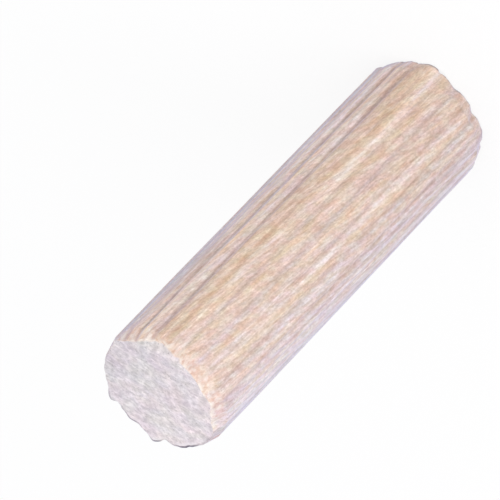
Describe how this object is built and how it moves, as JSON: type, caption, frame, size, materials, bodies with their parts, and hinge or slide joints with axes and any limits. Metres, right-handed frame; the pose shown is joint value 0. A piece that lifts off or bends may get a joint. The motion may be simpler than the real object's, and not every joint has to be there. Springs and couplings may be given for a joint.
{
  "type": "fluted wooden dowel pin",
  "caption": "Round wooden dowel pin with straight flutes along its shank and chamfered ends, pressed and glued into drilled holes to join boards.",
  "frame": {"origin": "centre of the lower sawn end, on the pin's axis", "axes": "+Z along the pin from the lower end to the upper end; +X is near a flute, and the torn chips at the rims are placed by their angle from it"},
  "size_m": [0.0096, 0.0096, 0.0318],
  "materials": {
    "dowel_wood": "bare pale hardwood, turned and pressed, with no coating; sawn end grain at both ends"
  },
  "bodies": {
    "root": {"dowel_pin": "dowel_wood"}
  },
  "joints": []
}
